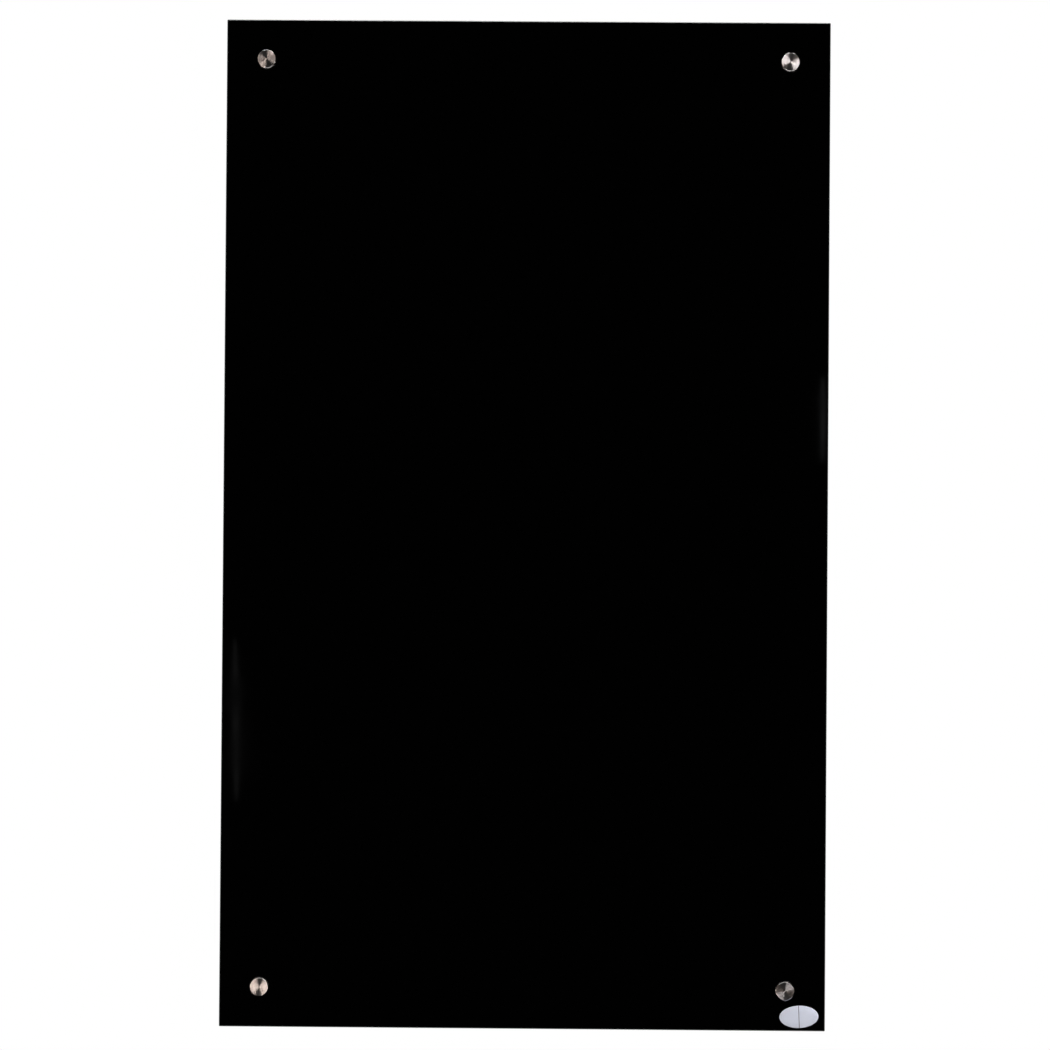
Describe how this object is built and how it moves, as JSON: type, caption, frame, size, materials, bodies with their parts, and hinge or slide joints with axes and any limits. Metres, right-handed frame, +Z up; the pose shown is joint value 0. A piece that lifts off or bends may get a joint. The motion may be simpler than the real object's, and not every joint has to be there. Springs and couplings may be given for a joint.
{
  "type": "glass panel heater",
  "caption": "Tall flat wall heater: a black glass sheet on round steel standoffs, with a sealed heating tray and a switched junction box behind it.",
  "frame": {"origin": "centre of the four wall fixings, on the wall plane behind the glass", "axes": "+Z up, -Y towards the room, +X to the right seen from the room"},
  "size_m": [0.6, 0.037, 1],
  "materials": {
    "black_glass": "gloss",
    "spun_stainless": "satin",
    "satin_stainless": "satin",
    "clear_washer": "gloss",
    "white_nylon": "satin",
    "galvanised_sheet": "satin",
    "black_silicone": "matte",
    "aluminium_foil": "satin",
    "red_silicone": "matte",
    "fibre_board": "matte",
    "dark_moulding": "matte",
    "tinned_brass": "satin",
    "zinc_steel": "satin",
    "brown_insulation": "satin",
    "blue_insulation": "satin",
    "green_insulation": "satin",
    "black_box_plastic": "matte",
    "foam_tape": "matte",
    "ivory_moulding": "satin",
    "gloss_black_plastic": "gloss",
    "black_rubber": "matte"
  },
  "bodies": {
    "panel": {"front_glass": "black_glass", "heat_spreader": "aluminium_foil", "heating_cable": "red_silicone", "insulation_board": "fibre_board", "rear_tray": "galvanised_sheet", "tray_gasket": "black_silicone", "cutout_cap": "aluminium_foil", "cutout_body": "dark_moulding", "cutout_tabs": "tinned_brass", "push_on_receptacles": "tinned_brass", "crimp_splices": "tinned_brass", "earth_stud": "zinc_steel", "earth_ring": "tinned_brass", "earth_washer": "zinc_steel", "earth_nut": "zinc_steel", "wire_grommet": "black_rubber", "live_wire": "brown_insulation", "switched_live_wire": "brown_insulation", "cutout_wire": "brown_insulation", "neutral_wire": "blue_insulation", "earth_wire": "green_insulation", "junction_box": "black_box_plastic", "box_bonding_pad": "foam_tape", "box_lid": "black_box_plastic", "lid_screws": "zinc_steel", "terminal_block": "ivory_moulding", "terminal_tubes": "tinned_brass", "terminal_screws": "zinc_steel", "block_screws": "zinc_steel", "switch_body": "gloss_black_plastic", "switch_tabs": "tinned_brass", "gland_body": "black_box_plastic", "gland_locknut": "black_box_plastic", "gland_seal": "black_rubber", "gland_dome_nut": "black_box_plastic", "standoff_barrel_top_left": "satin_stainless", "rear_washer_top_left": "clear_washer", "hole_bush_top_left": "white_nylon", "standoff_barrel_top_right": "satin_stainless", "rear_washer_top_right": "clear_washer", "hole_bush_top_right": "white_nylon", "standoff_barrel_bottom_left": "satin_stainless", "rear_washer_bottom_left": "clear_washer", "hole_bush_bottom_left": "white_nylon", "standoff_barrel_bottom_right": "satin_stainless", "rear_washer_bottom_right": "clear_washer", "hole_bush_bottom_right": "white_nylon"},
    "rocker": {"switch_rocker": "gloss_black_plastic"},
    "washer_top_left": {"front_washer_top_left": "clear_washer"},
    "cap_top_left": {"standoff_cap_top_left": "spun_stainless"},
    "washer_top_right": {"front_washer_top_right": "clear_washer"},
    "cap_top_right": {"standoff_cap_top_right": "spun_stainless"},
    "washer_bottom_left": {"front_washer_bottom_left": "clear_washer"},
    "cap_bottom_left": {"standoff_cap_bottom_left": "spun_stainless"},
    "washer_bottom_right": {"front_washer_bottom_right": "clear_washer"},
    "cap_bottom_right": {"standoff_cap_bottom_right": "spun_stainless"}
  },
  "joints": [
    {"name": "rocker_tilt", "type": "hinge", "parent": "panel", "child": "rocker", "pos_m": [0.045, -0.0155, -0.4556], "axis": [0, -1, 0], "range_deg": [0, 22]},
    {"name": "cap_travel_top_left", "type": "slide", "parent": "panel", "child": "washer_top_left", "axis": [0, -1, 0], "range_m": [0, 0.01]},
    {"name": "cap_turn_top_left", "type": "hinge", "parent": "washer_top_left", "child": "cap_top_left", "pos_m": [-0.26, -0.034, 0.46], "axis": [0, -1, 0], "range_deg": [0, 2880]},
    {"name": "cap_travel_top_right", "type": "slide", "parent": "panel", "child": "washer_top_right", "axis": [0, -1, 0], "range_m": [0, 0.01]},
    {"name": "cap_turn_top_right", "type": "hinge", "parent": "washer_top_right", "child": "cap_top_right", "pos_m": [0.26, -0.034, 0.46], "axis": [0, -1, 0], "range_deg": [0, 2880]},
    {"name": "cap_travel_bottom_left", "type": "slide", "parent": "panel", "child": "washer_bottom_left", "axis": [0, -1, 0], "range_m": [0, 0.01]},
    {"name": "cap_turn_bottom_left", "type": "hinge", "parent": "washer_bottom_left", "child": "cap_bottom_left", "pos_m": [-0.26, -0.034, -0.46], "axis": [0, -1, 0], "range_deg": [0, 2880]},
    {"name": "cap_travel_bottom_right", "type": "slide", "parent": "panel", "child": "washer_bottom_right", "axis": [0, -1, 0], "range_m": [0, 0.01]},
    {"name": "cap_turn_bottom_right", "type": "hinge", "parent": "washer_bottom_right", "child": "cap_bottom_right", "pos_m": [0.26, -0.034, -0.46], "axis": [0, -1, 0], "range_deg": [0, 2880]}
  ],
  "couplings": [
    {"joint": "cap_turn_top_left", "follows": "cap_travel_top_left", "rad_per_m": 5026.5},
    {"joint": "cap_turn_top_right", "follows": "cap_travel_top_right", "rad_per_m": 5026.5},
    {"joint": "cap_turn_bottom_left", "follows": "cap_travel_bottom_left", "rad_per_m": 5026.5},
    {"joint": "cap_turn_bottom_right", "follows": "cap_travel_bottom_right", "rad_per_m": 5026.5}
  ]
}
